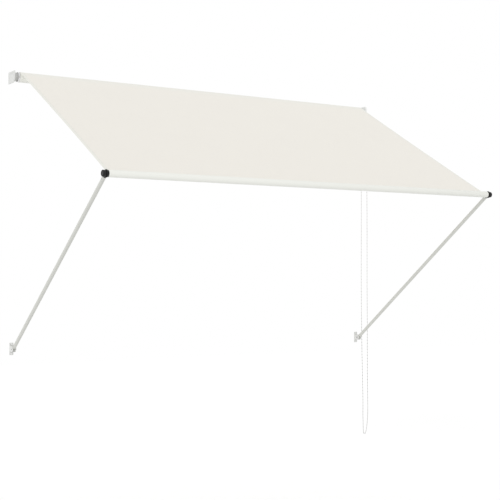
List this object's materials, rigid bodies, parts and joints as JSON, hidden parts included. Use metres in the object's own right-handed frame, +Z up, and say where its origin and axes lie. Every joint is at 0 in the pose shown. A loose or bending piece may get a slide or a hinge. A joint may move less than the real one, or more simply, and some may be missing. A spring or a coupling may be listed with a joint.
{
  "type": "drop-arm roller awning",
  "caption": "Canvas awning on a fabric roller, with a round front bar on swinging arms, wall brackets and a bead chain that winds the canopy up.",
  "frame": {"origin": "centre of the left roller bracket's wall face, level with the roller's axis", "axes": "+X along the roller towards the chain, -Y away from the wall, +Z up"},
  "size_m": [2.4946, 1.297, 2.221],
  "materials": {
    "white_paint": "satin white powder coat",
    "white_plastic": "moulded white plastic",
    "grey_plastic": "moulded grey plastic",
    "dark_plastic": "moulded dark grey plastic",
    "black_plastic": "moulded black plastic",
    "steel": "zinc-plated steel",
    "aluminium": "mill finish",
    "fabric": "woven cream canvas",
    "chain_plastic": "white plastic beads"
  },
  "bodies": {
    "frame": {"roller_bracket_left": "white_paint", "roller_bracket_right": "white_paint", "idle_hub": "grey_plastic", "idle_pin": "steel", "clutch_housing": "white_plastic", "clutch_spring": "steel", "chain_cover": "white_plastic", "cover_screw_low": "steel", "cover_screw_high": "steel", "bead_chain": "chain_plastic", "chain_connector": "chain_plastic", "arm_bracket_left": "white_paint", "arm_bracket_right": "white_paint", "pivot_bolt_left": "steel", "pivot_bolt_right": "steel", "pivot_nut_left": "steel", "pivot_nut_right": "steel", "canopy": "fabric"},
    "roller": {"roller_tube": "aluminium", "roller_keder": "white_plastic", "fabric_roll": "fabric", "idle_plug": "dark_plastic", "idle_bush": "white_plastic", "drive_plug": "dark_plastic", "drive_shaft": "steel", "chain_wheel": "white_plastic"},
    "arm_left": {"arm_tube_left": "white_paint", "arm_foot_left": "white_plastic", "arm_head_left": "black_plastic", "foot_rivet_left": "steel", "head_rivet_left": "steel"},
    "arm_right": {"arm_tube_right": "white_paint", "arm_foot_right": "white_plastic", "arm_head_right": "black_plastic", "foot_rivet_right": "steel", "head_rivet_right": "steel"},
    "front_bar": {"front_bar": "white_paint", "bar_keder": "white_plastic", "bar_plug_left": "black_plastic", "joint_bolt_left": "steel", "knob_left": "black_plastic", "bar_plug_right": "black_plastic", "joint_bolt_right": "steel", "knob_right": "black_plastic"}
  },
  "joints": [
    {"name": "arm_swing", "type": "hinge", "parent": "frame", "child": "arm_left", "pos_m": [0.0054, -0.034, -1.534], "axis": [-1, 0, 0], "range_deg": [0, 51], "deforming": ["canopy"]},
    {"name": "arm_right_swing", "type": "hinge", "parent": "frame", "child": "arm_right", "pos_m": [2.4451, -0.034, -1.534], "axis": [-1, 0, 0], "range_deg": [0, 51]},
    {"name": "bar_turn", "type": "hinge", "parent": "arm_left", "child": "front_bar", "pos_m": [0.0054, -1.27723, -0.64393], "axis": [-1, 0, 0], "range_deg": [-51, 0]},
    {"name": "roller_spin", "type": "hinge", "parent": "frame", "child": "roller", "pos_m": [2.4651, -0.068, 0], "axis": [-1, 0, 0], "range_deg": [0, 2473.5]}
  ],
  "couplings": [
    {"joint": "arm_right_swing", "follows": "arm_swing", "ratio": 1},
    {"joint": "bar_turn", "follows": "arm_swing", "ratio": -1},
    {"joint": "roller_spin", "follows": "arm_swing", "ratio": 48.5}
  ]
}
